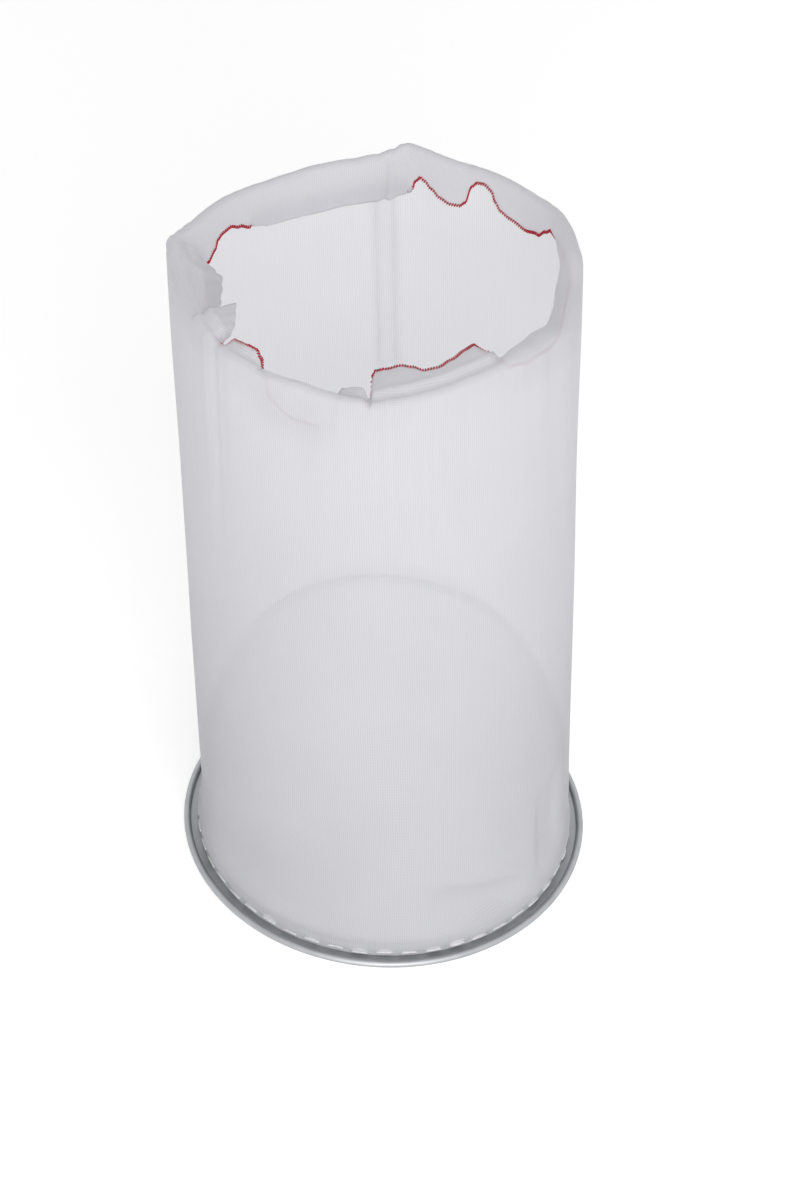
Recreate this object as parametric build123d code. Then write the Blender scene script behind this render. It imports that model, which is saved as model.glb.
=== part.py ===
"""Bag filter element: a mesh sleeve and a closed inner pocket sewn round the neck of a steel ring.

Millimetres, +Z up. The origin is the centre of the ring's underside, where the element stands.
The sleeve's lengthwise seam lies at the back, on +Y, and its soft wall leans a little towards -X.
"""

from build123d import *
from math import atan2, cos, degrees, pi, radians, sin, sqrt
import os

# Steel ring
ring_diameter = 180.0
sheet_thickness = 0.8
bead_diameter = 3.2
bead_curl_end = 160.0
neck_height = 8.0
lip_reach = 1.0
flange_width = 3.0

# Cloth, and the air between its layers
cloth_thickness = 0.8
layer_gap = 0.2
stand_gap = 0.1

# Sleeve: the fold at its mouth and the collar turned in below it
sleeve_height = 314.0
sleeve_lean = 17.0
lean_start = 30.0
fold_radius = 3.2
collar_length = 27.0
collar_waves = ((3, 2.2, 40.0), (5, 2.6, 200.0), (11, 2.0, 75.0))

# Overlock thread round the collar's free edge
overlock_pitch = 4.0
overlock_width = 3.2
overlock_loop = 1.5
overlock_thread = 0.4
overlock_slack = 0.15

# Inner pocket: two panels that lean together from the ring up, and the arched seam where they meet
pocket_height = 147.0
pocket_lean = 3.5
panel_lean = 20.0
crown_radius = 65.0
seam_allowance = 4.0
seam_thickness = 1.6
seam_start = 42.0
pocket_stitch_pitch = 8.0
pocket_stitch_length = 4.5

# Binding round the foot, and its running stitch
binding_height = 9.0
binding_thickness = 0.6
hem_pitch = 11.0
hem_stitch_length = 6.5
hem_stitch_height = 5.2
thread_diameter = 0.9

# Lapped lengthwise seam of the sleeve
lap_width = 12.0
lap_thickness = 0.8
lap_gap = 0.2
lap_top_gap = 6.0
lap_row_inset = 2.5
lap_pitch = 9.0
lap_stitch_length = 5.0
stitch_gap = 0.05

# What follows from the sizes above, from the bead inwards
ring_radius = ring_diameter / 2
bead_radius = bead_diameter / 2
bead_centre_radius = ring_radius - bead_radius
binding_outer = ring_radius - bead_diameter - flange_width
binding_inner = binding_outer - binding_thickness
sleeve_outer = binding_inner - layer_gap
sleeve_inner = sleeve_outer - cloth_thickness
pocket_outer = sleeve_inner - layer_gap
pocket_inner = pocket_outer - cloth_thickness
lip_outer = pocket_inner - layer_gap
neck_outer = lip_outer - lip_reach
neck_inner = neck_outer - sheet_thickness
cloth_base = sheet_thickness + stand_gap

panel_rise = pocket_height - neck_height
panel_slope = panel_lean / panel_rise
dome_height = pocket_height + crown_radius - sqrt(crown_radius**2 - panel_lean**2)
crown_rise = dome_height - crown_radius - neck_height
side_arc_radius = (pocket_outer**2 + crown_rise**2 - crown_radius**2) / (2 * (pocket_outer - crown_radius))

fold_height = sleeve_height - fold_radius
collar_outer = sleeve_outer - 2 * fold_radius + cloth_thickness
collar_inner = collar_outer - cloth_thickness
collar_edge = fold_height - collar_length
lean_slope = sleeve_lean / (fold_height - lean_start)

lap_inner = sleeve_outer + lap_gap
lap_outer = lap_inner + lap_thickness
lap_base = cloth_base + binding_height + lap_gap
lap_top = fold_height - lap_top_gap

BACK = 90.0


def turned(*edges):
    """A solid of revolution about Z from an outline in the XZ plane."""
    return revolve(make_face(Wire(list(edges))), Axis.Z)


def wave_height(angle):
    """Height of the collar's free edge at an angle in degrees."""
    swings = (size * sin(radians(count * angle + start)) for count, size, start in collar_waves)
    return collar_edge + sum(swings)


def wave_slope(angle):
    """Slope of the collar's free edge, in degrees."""
    step = 1.0
    rise = wave_height(angle + step) - wave_height(angle - step)
    return degrees(atan2(rise, collar_outer * radians(2 * step)))


def risen(face, low, high):
    """A level face drawn up between two heights, straight and then leaning with the sleeve."""
    foot = Solid.extrude(Pos(0, 0, low) * face, Vector(0, 0, lean_start - low))
    reach = high - lean_start
    return foot + Solid.extrude(Pos(0, 0, lean_start) * face, Vector(-lean_slope * reach, 0, reach))


def lean_at(height):
    """How far the sleeve's wall has leaned over at a height."""
    return -lean_slope * max(0, height - lean_start)


def dome_arcs(offset):
    """The dome's side and crown in the XZ plane, this far under the pocket's outer face."""
    side = side_arc_radius - offset
    crown = crown_radius - offset
    side_centre = Vector(pocket_outer - side_arc_radius, 0, neck_height)
    crown_centre = Vector(0, 0, dome_height - crown_radius)
    out = (crown_centre - side_centre).normalized()
    halfway = (out + Vector(1, 0, 0)).normalized()
    near_top = (out + Vector(0, 0, 1)).normalized()
    base = Vector(pocket_outer - offset, 0, neck_height)
    meeting = side_centre + out * side
    top = Vector(0, 0, dome_height - offset)
    return (
        ThreePointArc(base, side_centre + halfway * side, meeting),
        ThreePointArc(meeting, crown_centre + near_top * crown, top),
    )


def panelled(offset):
    """Everything inside the pocket's two panels, above the neck, or inside faces this far under them."""
    side, crown = dome_arcs(offset)
    foot, top = side @ 0, crown @ 1
    middle = Vector(0, 0, neck_height)
    dome = turned(side, crown, Line(top, middle), Line(middle, foot)).solid()
    across = pocket_lean / panel_rise
    pushed = dome.transform_geometry(
        Matrix(
            [
                [1, 0, -across, across * neck_height],
                [0, 1, -panel_slope, panel_slope * neck_height],
                [0, 0, 1, 0],
            ]
        )
    )
    room = Pos(0, ring_radius, ring_diameter / 2) * Box(2 * ring_diameter, ring_diameter, ring_diameter)
    return pushed & room


def both_panels(half):
    """A shape over the +Y panel and its mirror image over the other."""
    return half + mirror(half, about=Plane.XZ)


def band(inner, outer, low, high, angle=360.0, start=0.0):
    """A ring, or a stretch of one, with a rectangular section."""
    section = Pos((inner + outer) / 2, 0, (low + high) / 2) * (Plane.XZ * Rectangle(outer - inner, high - low))
    return Rot(0, 0, start) * revolve(section, Axis.Z, angle)


def centred_band(inner, outer, low, high, width, middle):
    """A stretch of ring of this width, centred on an angle in degrees."""
    span = degrees(width / outer)
    return band(inner, outer, low, high, span, middle - span / 2)


def around_bead(radius, angle):
    """A point of the bead's section at an angle from level, on a circle of this radius."""
    return Vector(
        bead_centre_radius + radius * cos(radians(angle)), 0, bead_radius + radius * sin(radians(angle))
    )


def make_flange_ring():
    """Flat flange, an upstanding neck with a flared lip, and an outer edge curled up and over."""
    hollow = bead_radius - sheet_thickness
    middle = (bead_curl_end - 90) / 2
    neck = Polyline(
        around_bead(hollow, -90),
        (neck_outer, 0, sheet_thickness),
        (neck_outer, 0, neck_height - sheet_thickness - lip_reach),
        (lip_outer, 0, neck_height - sheet_thickness),
        (lip_outer, 0, neck_height),
        (lip_outer - sheet_thickness, 0, neck_height),
        (neck_inner, 0, neck_height - sheet_thickness),
        (neck_inner, 0, 0),
        around_bead(bead_radius, -90),
    )
    curl = [
        ThreePointArc(*(around_bead(bead_radius, angle) for angle in (-90, middle, bead_curl_end))),
        Line(around_bead(bead_radius, bead_curl_end), around_bead(hollow, bead_curl_end)),
        ThreePointArc(*(around_bead(hollow, angle) for angle in (bead_curl_end, middle, -90))),
    ]
    return turned(*neck.edges(), *curl)


def wave_tool():
    """Everything below the collar's free edge, in the band of the collar alone."""
    inside = collar_inner - fold_radius
    outside = sleeve_inner - fold_radius / 2
    step = 4
    halves = []
    for start in (0, 180):
        rows = []
        for angle in range(start - step, start + 180 + 2 * step, step):
            across, along = cos(radians(angle)), sin(radians(angle))
            height = wave_height(angle)
            rows.append([Vector(r * across, r * along, height) for r in (inside, outside)])
        edge = Face.make_surface_from_array_of_points(rows, max_deg=3)
        halves.append(extrude(edge, amount=-collar_length, dir=(0, 0, 1)))
    return halves


def make_filter_sleeve():
    """One cloth: up the outside, over the fold at the mouth, and down again as a wavy collar."""
    deep = collar_edge - sum(size for _, size, _ in collar_waves) - overlock_width
    centre = sleeve_outer - fold_radius
    small = fold_radius - cloth_thickness
    outline = [
        Line((sleeve_inner, 0, fold_height), (sleeve_outer, 0, fold_height)),
        ThreePointArc(
            (sleeve_outer, 0, fold_height), (centre, 0, sleeve_height), (centre - fold_radius, 0, fold_height)
        ),
        Line((centre - fold_radius, 0, fold_height), (centre - fold_radius, 0, deep)),
        Line((centre - fold_radius, 0, deep), (centre - small, 0, deep)),
        Line((centre - small, 0, deep), (centre - small, 0, fold_height)),
        ThreePointArc(
            (centre - small, 0, fold_height), (centre, 0, fold_height + small), (sleeve_inner, 0, fold_height)
        ),
    ]
    mouth = turned(*outline)
    for half in wave_tool():
        mouth -= half
    wall = risen((Circle(sleeve_outer) - Circle(sleeve_inner)).face(), cloth_base, fold_height)
    return wall + Pos(-sleeve_lean, 0, 0) * mouth


def make_rim_overlock():
    """Loops of thread that wrap the collar's free edge, each turned to the slope of the edge."""
    slot = cloth_thickness + 2 * overlock_slack
    depth = slot + 2 * overlock_thread
    rise = overlock_width / 2 - overlock_thread - overlock_slack
    loop = Box(depth, overlock_loop, overlock_width)
    loop -= Pos(0, 0, overlock_thread) * Box(slot, overlock_loop, overlock_width)
    radius = (collar_inner + collar_outer) / 2
    count = round(2 * pi * radius / overlock_pitch)
    loops = []
    for number in range(count):
        angle = number * 360 / count
        place = Rot(0, 0, angle) * Pos(radius, 0, wave_height(angle)) * Rot(wave_slope(angle), 0, 0)
        loops.append(Pos(-sleeve_lean, 0, 0) * place * Pos(0, 0, rise) * loop)
    return Compound(children=loops)


def make_side_seam_lap():
    """The lapped edge of the sleeve's cloth, up the back from the binding to the fold."""
    strip = Pos(0, lap_outer, 0) * Rectangle(lap_width, lap_outer)
    section = (Circle(lap_outer) - Circle(lap_inner)) & strip
    return risen(section.face(), lap_base, lap_top)


def make_side_seam_stitches():
    """Two rows of running stitch up the lap."""
    offset = lap_width / 2 - lap_row_inset
    count = int((lap_top - lap_base) // lap_pitch)
    first = (lap_base + lap_top - (count - 1) * lap_pitch) / 2
    thread = Box(thread_diameter, thread_diameter / 2, lap_stitch_length)
    rows = []
    for side in (-1, 1):
        turn = degrees(side * offset / lap_outer)
        seat = Rot(0, 0, turn) * Pos(0, lap_outer + stitch_gap + thread_diameter / 4, 0)
        for number in range(count):
            height = first + number * lap_pitch
            tilt = -degrees(atan2(lean_slope, 1)) if height > lean_start else 0
            rows.append(Pos(lean_at(height), 0, height) * seat * Rot(0, tilt, 0) * thread)
    return Compound(children=rows)


def make_hem_binding():
    """Tape round the foot of the sleeve, standing on the flange."""
    return band(binding_inner, binding_outer, cloth_base, cloth_base + binding_height)


def make_hem_stitches():
    """Running stitch round the binding, through every layer of cloth below the neck's lip."""
    count = round(2 * pi * binding_outer / hem_pitch)
    low = cloth_base + hem_stitch_height - thread_diameter / 2
    outer = binding_outer + thread_diameter / 2
    stitches = [
        centred_band(
            binding_outer, outer, low, low + thread_diameter, hem_stitch_length, BACK + number * 360 / count
        )
        for number in range(count)
    ]
    return Compound(children=stitches)


def make_filter_pocket():
    """Closed mesh pocket: a straight skirt outside the neck, and two panels that meet over the ring."""
    skirt = band(pocket_inner, pocket_outer, cloth_base, neck_height)
    return skirt + both_panels(panelled(0) - panelled(cloth_thickness))


def make_pocket_seam_allowance():
    """The two panels' edges, sewn together and standing up along the arch where they meet."""
    high = pocket_height + 2 * seam_allowance
    slab = Pos(0, 0, (seam_start + high) / 2) * Box(ring_diameter, seam_thickness, high - seam_start)
    inside_sleeve = risen(Circle(sleeve_inner - layer_gap).face(), cloth_base, high)
    edges = both_panels(panelled(-seam_allowance)) & slab & inside_sleeve
    return edges - both_panels(panelled(-lap_gap / 2))


def seam_line():
    """The sewing line halfway out on the seam allowance, from one side over the top to the other."""
    side, crown = dome_arcs(-seam_allowance / 2)
    points = []
    for arc in (side, crown):
        for number in range(15):
            reach, _, height = arc @ (number / 15)
            rise = height - neck_height
            half = reach**2 - (panel_slope * rise) ** 2
            if half > 0 and height > seam_start + pocket_stitch_length:
                points.append((sqrt(half), height))
    top = pocket_height + seam_allowance / 2
    over = pocket_lean / panel_rise
    right = [Vector(half - over * (height - neck_height), 0, height) for half, height in points]
    left = [Vector(-half - over * (height - neck_height), 0, height) for half, height in reversed(points)]
    return Spline(right + [Vector(-over * (top - neck_height), 0, top)] + left)


def make_pocket_seam_stitches():
    """Running stitch on both faces of the pocket's seam allowance."""
    line = seam_line()
    count = int(line.length // pocket_stitch_pitch)
    out = seam_thickness / 2 + thread_diameter / 4
    thread = Box(pocket_stitch_length, thread_diameter / 2, thread_diameter / 2)
    stitches = []
    for number in range(count):
        share = (number + 0.5) / count
        here, along = line @ share, line % share
        tilt = Rot(0, -degrees(atan2(along.Z, along.X)), 0)
        for face in (-1, 1):
            stitches.append(Pos(here.X, face * out, here.Z) * tilt * thread)
    return Compound(children=stitches)


def main():
    parts = {
        "flange_ring": make_flange_ring(),
        "filter_sleeve": make_filter_sleeve(),
        "rim_overlock": make_rim_overlock(),
        "side_seam_lap": make_side_seam_lap(),
        "side_seam_stitches": make_side_seam_stitches(),
        "hem_binding": make_hem_binding(),
        "hem_stitches": make_hem_stitches(),
        "filter_pocket": make_filter_pocket(),
        "pocket_seam_allowance": make_pocket_seam_allowance(),
        "pocket_seam_stitches": make_pocket_seam_stitches(),
    }
    os.makedirs("parts", exist_ok=True)
    for name, solid in parts.items():
        export_step(solid, f"parts/{name}.step")


main()
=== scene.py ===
"""Looks of the bag filter element: mesh sleeve, inner pocket, seams and steel ring, on a studio floor."""

from math import cos, degrees, exp, pi, radians, sin, sqrt

import bpy
from mathutils import Euler, Matrix, Vector, noise


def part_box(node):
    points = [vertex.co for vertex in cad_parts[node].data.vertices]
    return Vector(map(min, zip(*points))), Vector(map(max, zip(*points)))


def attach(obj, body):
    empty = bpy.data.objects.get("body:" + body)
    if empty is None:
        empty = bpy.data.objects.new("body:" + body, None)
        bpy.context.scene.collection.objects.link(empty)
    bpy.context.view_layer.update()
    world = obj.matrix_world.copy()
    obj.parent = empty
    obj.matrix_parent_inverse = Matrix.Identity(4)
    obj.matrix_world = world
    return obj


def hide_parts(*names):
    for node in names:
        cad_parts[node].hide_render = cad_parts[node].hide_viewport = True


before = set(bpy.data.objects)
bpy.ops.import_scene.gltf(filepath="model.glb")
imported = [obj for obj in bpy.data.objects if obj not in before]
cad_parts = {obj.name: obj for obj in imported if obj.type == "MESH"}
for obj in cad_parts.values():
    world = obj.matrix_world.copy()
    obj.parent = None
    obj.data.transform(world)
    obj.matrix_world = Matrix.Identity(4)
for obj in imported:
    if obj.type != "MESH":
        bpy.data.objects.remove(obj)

bl_info = {
    "name": "Bag filter element",
    "version": (1, 0, 0),
    "blender": (4, 5, 0),
    "location": "3D View > Sidebar > Filter",
    "description": "Dresses the packed bag filter element: cloth, thread, seams and ring",
    "category": "Object",
}

MM = 0.001
BACK = 90.0  # where the sleeve's lengthwise seam stands, in degrees from +X
MERGE = 1e-5  # corners closer than this become one, in metres

RING_LOW, RING_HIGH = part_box("flange_ring")
SLEEVE_LOW, SLEEVE_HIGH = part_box("filter_sleeve")
BINDING_LOW, BINDING_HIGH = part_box("hem_binding")
POCKET_LOW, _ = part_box("filter_pocket")
LAP_LOW, LAP_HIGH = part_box("side_seam_lap")
NECK_TOP = RING_HIGH[2]
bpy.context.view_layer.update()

LEAN_START = 30 * MM  # the soft wall stands upright below this height
LEAN_END = SLEEVE_HIGH[2] - 3.2 * MM  # and has its whole lean here, where the fold at the mouth begins
TAPE_STAND = 1.3 * MM  # how far the hem tape stands out from the cloth's foot
LAP_WIDE = 12 * MM
LAP_GRID = (10, 120)  # columns and rows of the lap
SEAM_STITCH = 2.7 * MM  # length of a stitch in the side seam
LOOP_PITCH = 1.1 * MM  # from one loop of the overlock thread to the next
LOOP_STEP = 0.16 * MM  # along the edge, from one point of the thread's path to the next
HEM_TAPE_WIDE = 6.2 * MM
POCKET_CROWDING = 1.7  # how strongly the pocket's rows crowd towards its crest
FIN_START = 42 * MM  # height where the pocket's seam allowance starts
FIN_STEPS = 40
FIN_THICK = 1.2 * MM

# The turned-over mouth, round the sleeve from +X, in degrees and millimetres: angle, how far the rim stands
# out and up from a plain circle, the radius of its fold, the tilt of the collar from hanging straight down,
# its width, and how much of its edge is folded under. The angle, out, up and width columns were solved by a
# separate script and rounded, which goes against the rule for such tables: see "Rule not kept" in report.md.
# The fold radius, tilt and folded-under columns were chosen.
RIM = (
    (0.0, 0.8, 0.0, 5.4, -62.0, 3.0, 0.0),
    (14.0, 3.0, 4.0, 4.6, -62.0, 3.0, 0.0),
    (25.0, 4.0, 5.0, 4.0, -46.0, 3.0, 0.0),
    (28.5, 4.0, 5.2, 3.4, -10.0, 5.0, 0.0),
    (31.0, 3.6, 5.0, 3.0, 4.0, 9.0, 0.0),
    (34.0, 3.2, 4.4, 2.8, 8.0, 13.0, 0.0),
    (40.5, 2.6, 3.0, 2.5, 8.0, 15.0, 0.0),
    (46.0, 2.3, 2.6, 2.5, 8.0, 13.5, 0.0),
    (50.0, 2.2, 2.4, 2.5, 8.0, 12.0, 0.0),
    (52.0, 2.1, 2.2, 2.5, 9.0, 9.0, 0.0),
    (54.0, 2.0, 2.1, 2.5, 11.0, 5.0, 0.0),
    (57.0, 1.8, 1.9, 2.5, 12.0, 3.5, 0.0),
    (59.5, 1.6, 1.7, 2.5, 12.0, 4.0, 0.0),
    (61.2, 1.4, 1.5, 2.5, 12.0, 6.5, 0.0),
    (62.6, 1.4, 1.5, 2.5, 11.0, 15.0, 0.0),
    (64.5, 1.2, 1.2, 2.5, 9.0, 17.0, 0.0),
    (67.5, 1.0, 1.0, 2.5, 8.0, 17.0, 0.0),
    (71.0, 1.2, 1.2, 2.5, 8.0, 15.5, 0.0),
    (74.0, 1.5, 1.5, 2.5, 8.0, 13.0, 0.0),
    (76.5, 2.0, 2.0, 2.5, 8.0, 11.0, 0.0),
    (78.0, 2.2, 2.2, 2.4, 7.0, 10.5, 0.0),
    (79.2, 2.4, 2.4, 2.3, 6.0, 13.0, 0.0),
    (81.0, 2.7, 2.7, 2.2, 6.0, 20.5, 1.0),
    (82.5, 2.8, 2.8, 2.0, 5.0, 21.5, 7.0),
    (84.5, 2.3, 2.3, 2.2, 5.0, 21.5, 8.0),
    (87.0, 0.6, 0.6, 2.4, 5.0, 20.5, 8.0),
    (92.0, -1.2, -1.2, 2.5, 5.0, 19.5, 8.0),
    (99.5, -2.4, -2.4, 2.5, 5.0, 18.8, 8.0),
    (110.0, -3.0, -3.0, 2.5, 6.0, 19.5, 8.0),
    (120.0, -3.7, -3.7, 2.5, 7.0, 17.5, 8.0),
    (128.0, -3.8, -3.8, 2.5, 8.0, 18.0, 8.0),
    (133.0, -3.4, -3.4, 2.5, 8.0, 17.0, 6.0),
    (135.5, -3.2, -3.2, 2.5, 8.0, 16.0, 0.0),
    (140.0, -2.8, -2.8, 2.5, 8.0, 13.5, 0.0),
    (144.0, -2.4, -2.4, 2.5, 8.0, 11.5, 0.0),
    (148.0, -2.2, -2.2, 2.5, 8.0, 12.0, 0.0),
    (150.5, -2.0, -2.0, 2.5, 8.0, 13.5, 0.0),
    (152.0, -1.9, -1.9, 2.5, 8.0, 17.0, 0.0),
    (156.0, -1.6, -1.6, 2.5, 8.0, 20.5, 0.0),
    (158.0, -1.4, -1.4, 2.5, 8.0, 20.0, 6.0),
    (163.0, -0.4, -0.4, 2.4, 12.0, 15.0, 7.0),
    (167.0, 0.6, 0.6, 2.2, 18.0, 11.0, 6.0),
    (169.2, 1.0, 1.2, 2.1, 26.0, 10.0, 6.0),
    (171.0, 1.2, 3.0, 2.0, 58.0, 20.0, 7.0),
    (174.5, 1.0, 4.8, 2.0, 62.0, 20.0, 7.0),
    (177.5, 0.2, 4.6, 2.4, 68.0, 19.5, 7.0),
    (187.0, -2.0, 3.6, 3.0, 80.0, 18.0, 7.0),
    (195.0, -2.8, 3.8, 3.0, 86.0, 16.0, 7.0),
    (203.0, -3.0, 4.3, 3.0, 88.0, 13.0, 7.0),
    (208.6, -3.0, 4.4, 3.0, 84.0, 9.5, 7.0),
    (210.2, -2.8, 5.8, 3.0, 97.0, 16.5, 6.0),
    (214.0, -2.5, 5.6, 3.0, 92.0, 14.5, 6.0),
    (217.5, -2.0, 5.0, 3.0, 86.0, 12.0, 5.0),
    (220.0, -2.2, 3.8, 2.4, 76.0, 8.5, 2.0),
    (221.4, -2.5, 3.1, 2.2, 70.0, 2.0, 0.6),
    (222.4, -2.6, 3.0, 2.2, 72.0, 2.0, 0.6),
    (224.5, -2.1, 3.8, 3.0, 88.0, 5.5, 0.6),
    (229.0, -1.8, 4.2, 3.0, 93.0, 6.0, 0.6),
    (233.0, -2.0, 4.0, 3.0, 88.0, 6.8, 0.0),
    (235.6, -2.2, 3.4, 3.0, 80.0, 4.8, 0.0),
    (237.6, -2.4, 2.6, 2.6, 34.0, 4.0, 0.0),
    (240.0, -2.5, 2.7, 2.6, 6.0, 14.0, 0.0),
    (251.0, -3.0, 3.0, 2.6, 4.0, 20.0, 0.0),
    (260.0, -2.0, 2.4, 2.6, 8.0, 20.0, 3.0),
    (263.5, -1.6, 2.4, 2.4, 74.0, 5.0, 6.0),
    (269.0, -1.4, 2.2, 2.4, 84.0, 6.5, 6.0),
    (271.7, -1.0, 0.6, 2.4, 78.0, 3.0, 5.0),
    (272.5, -1.0, 0.8, 2.6, 86.0, 19.0, 0.0),
    (273.6, -1.1, 1.0, 2.8, 90.0, 20.5, 0.0),
    (277.0, -1.5, 1.8, 3.0, 91.0, 19.5, 0.0),
    (283.5, -2.0, 2.6, 3.0, 92.0, 19.7, 0.0),
    (287.0, -2.6, 3.0, 3.0, 91.0, 17.0, 0.0),
    (290.5, -3.0, 3.2, 3.0, 90.0, 12.8, 0.0),
    (295.0, -3.3, 3.7, 3.0, 91.0, 11.8, 0.0),
    (301.0, -4.0, 4.2, 3.0, 92.0, 13.0, 0.0),
    (308.0, -4.0, 4.2, 3.0, 94.0, 15.0, 0.0),
    (313.2, -3.9, 4.2, 3.0, 92.0, 16.0, 0.0),
    (314.8, -3.8, 4.4, 3.2, 82.0, 9.0, 0.0),
    (317.5, -3.6, 4.4, 3.8, 30.0, 4.0, 0.0),
    (321.0, -3.2, 4.2, 4.6, -40.0, 3.0, 0.0),
    (331.0, -2.0, 3.0, 5.4, -62.0, 3.0, 0.0),
    (345.0, 0.3, -0.5, 5.4, -62.0, 3.0, 0.0),
)

# Shallow dents low on the wall: angle, height, half width in degrees, half height, depth, and slant in
# millimetres of height for each degree round.
DENTS = (
    (236.0, 42.0, 24.0, 24.0, 4.2, 0.5),
    (303.0, 25.0, 16.0, 9.0, 5.0, -0.45),
    (334.0, 44.0, 7.0, 22.0, 3.0, 0.6),
    (262.0, 66.0, 10.0, 30.0, 1.0, 0.0),
    (322.0, 74.0, 12.0, 30.0, 1.2, 0.0),
    (120.0, 40.0, 18.0, 24.0, 2.0, 0.3),
    (30.0, 34.0, 14.0, 18.0, 1.6, -0.3),
)


class FilterSizes(bpy.types.PropertyGroup):
    """Sizes of the cloth and its threads that the frame leaves open."""

    wall_radius: bpy.props.FloatProperty(
        name="Wall radius",
        description="Radius of the sleeve between foot and mouth",
        default=82 * MM,
        unit="LENGTH",
    )
    lean: bpy.props.FloatProperty(
        name="Lean",
        description="How far the soft sleeve's mouth stands to -X",
        default=17 * MM,
        unit="LENGTH",
    )
    mesh_pitch: bpy.props.FloatProperty(
        name="Mesh pitch",
        description="Distance between the mesh's openings",
        default=0.95 * MM,
        unit="LENGTH",
    )
    rim_thread: bpy.props.FloatProperty(
        name="Rim thread",
        description="Diameter of the red overlock thread",
        default=0.62 * MM,
        unit="LENGTH",
    )
    hem_pitch: bpy.props.FloatProperty(
        name="Hem pitch",
        description="Distance between stitches round the foot",
        default=11 * MM,
        unit="LENGTH",
    )
    seam_pitch: bpy.props.FloatProperty(
        name="Seam pitch",
        description="Distance between stitches of the seams",
        default=4 * MM,
        unit="LENGTH",
    )
    pocket_height: bpy.props.FloatProperty(
        name="Pocket height",
        description="Top of the inner pocket's arched seam",
        default=147 * MM,
        unit="LENGTH",
    )
    crown_radius: bpy.props.FloatProperty(
        name="Crown radius",
        description="Radius of the panels' crowns",
        default=65 * MM,
        unit="LENGTH",
    )
    panel_lean: bpy.props.FloatProperty(
        name="Panel lean",
        description="How far each panel leans past the middle",
        default=20 * MM,
        unit="LENGTH",
    )
    pocket_lean: bpy.props.FloatProperty(
        name="Pocket lean",
        description="How far the pocket's top stands to -X",
        default=3.5 * MM,
        unit="LENGTH",
    )


class FilterColours(bpy.types.PropertyGroup):
    """Colours of the cloth, thread and steel, as linear values; the pocket's is greyer than the sleeve's
    white mesh, and that difference is painted shade.
    """

    cloth: bpy.props.FloatVectorProperty(
        name="Cloth",
        description="White mesh",
        subtype="COLOR",
        size=3,
        default=(0.80, 0.80, 0.825),
    )
    # The pocket's colour is greyer than the sleeve's white mesh. That difference is painted shade, so the
    # pocket seen through the sleeve below its arch reads darker.
    pocket: bpy.props.FloatVectorProperty(
        name="Pocket",
        description="Mesh of the inner pocket",
        subtype="COLOR",
        size=3,
        default=(0.72, 0.72, 0.74),
    )
    thread: bpy.props.FloatVectorProperty(
        name="Thread",
        description="White sewing thread",
        subtype="COLOR",
        size=3,
        default=(0.86, 0.86, 0.87),
    )
    rim: bpy.props.FloatVectorProperty(
        name="Rim thread",
        description="Red overlock thread",
        subtype="COLOR",
        size=3,
        default=(0.50, 0.022, 0.04),
    )
    steel: bpy.props.FloatVectorProperty(
        name="Steel",
        description="Galvanised steel",
        subtype="COLOR",
        size=3,
        default=(0.43, 0.44, 0.45),
    )


def sizes():
    return bpy.context.scene.filter_sizes


def colours():
    return bpy.context.scene.filter_colours


# ---------------------------------------------------------------- shape of the cloth


def eased(share):
    """A share from 0 to 1 with a soft start and end."""
    share = min(1.0, max(0.0, share))
    return share * share * (3 - 2 * share)


def rim_at(angle):
    """The rim's values at an angle in degrees, eased from row to row."""
    angle %= 360.0
    after = next((row for row in RIM if row[0] > angle), (RIM[0][0] + 360.0, *RIM[0][1:]))
    before = next(row for row in reversed(RIM) if row[0] <= angle)
    share = eased((angle - before[0]) / (after[0] - before[0]))
    return [a + (b - a) * share for a, b in zip(before[1:], after[1:])]


def gap_between(a, b):
    """The shortest way from angle b to angle a, in degrees."""
    return (a - b + 180.0) % 360.0 - 180.0


def lean_at(height):
    """How far the soft wall has leaned over at a height."""
    return -sizes().lean * max(0.0, height - LEAN_START) / (LEAN_END - LEAN_START)


def dent_depth(angle, height):
    """How deep the dents press into the wall, with a soft ridge along each one's upper edge."""
    depth = 0.0
    for middle, level, wide, tall, deep, slant in DENTS:
        across = gap_between(angle, middle)
        along = (height / MM - level - slant * across) / tall
        across /= wide
        press = exp(-(across**4) - (along**2) ** 1.3)
        ridge = exp(-(across**2) - ((along - 1.35) * 2.6) ** 2)
        depth += deep * (press - 0.28 * ridge)
    return depth * MM


def wall_top(angle):
    """Height where the wall ends and the fold at the mouth begins."""
    _, up, fold, *_ = rim_at(angle)
    return SLEEVE_HIGH[2] + (up - fold) * MM


def wall_point(angle, height, outward=0.0):
    """A point of the sleeve's outer wall; height is in metres above the floor."""
    size = sizes()
    out, *_ = rim_at(angle)
    share = (height - SLEEVE_LOW[2]) / (wall_top(angle) - SLEEVE_LOW[2])
    foot = -BINDING_LOW[0] - TAPE_STAND
    turn = radians(angle)
    # The foot spreads to the ring's flange, with an uneven swell and two fuller bulges just above it.
    radius = size.wall_radius + (foot - size.wall_radius) * exp(-height / (10 * MM))
    swell = noise.noise(Vector((3 * cos(turn), 3 * sin(turn), 7.0)))
    radius += (1.5 + 0.9 * swell) * MM * exp(-(((height - 8 * MM) / (5 * MM)) ** 2))
    crest = exp(-((gap_between(angle, 312) / 34) ** 4))
    crest += 0.8 * exp(-((gap_between(angle, 218) / 22) ** 4))
    radius += 2.4 * MM * crest * exp(-(((height - 12 * MM) / (4.5 * MM)) ** 2))
    # The upper wall eases out to the rim, the dents press in, and the whole cloth wanders a little.
    radius += out * MM * eased((share - 0.55) / 0.45)
    radius -= dent_depth(angle, height) * eased(height / (12 * MM))
    wander = noise.noise(Vector((1.3 * cos(turn), 1.3 * sin(turn), height * 9)))
    radius += 0.9 * MM * wander * eased(height / (40 * MM))
    radius += outward
    return Vector((radius * cos(turn) + lean_at(height), radius * sin(turn), height))


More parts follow.
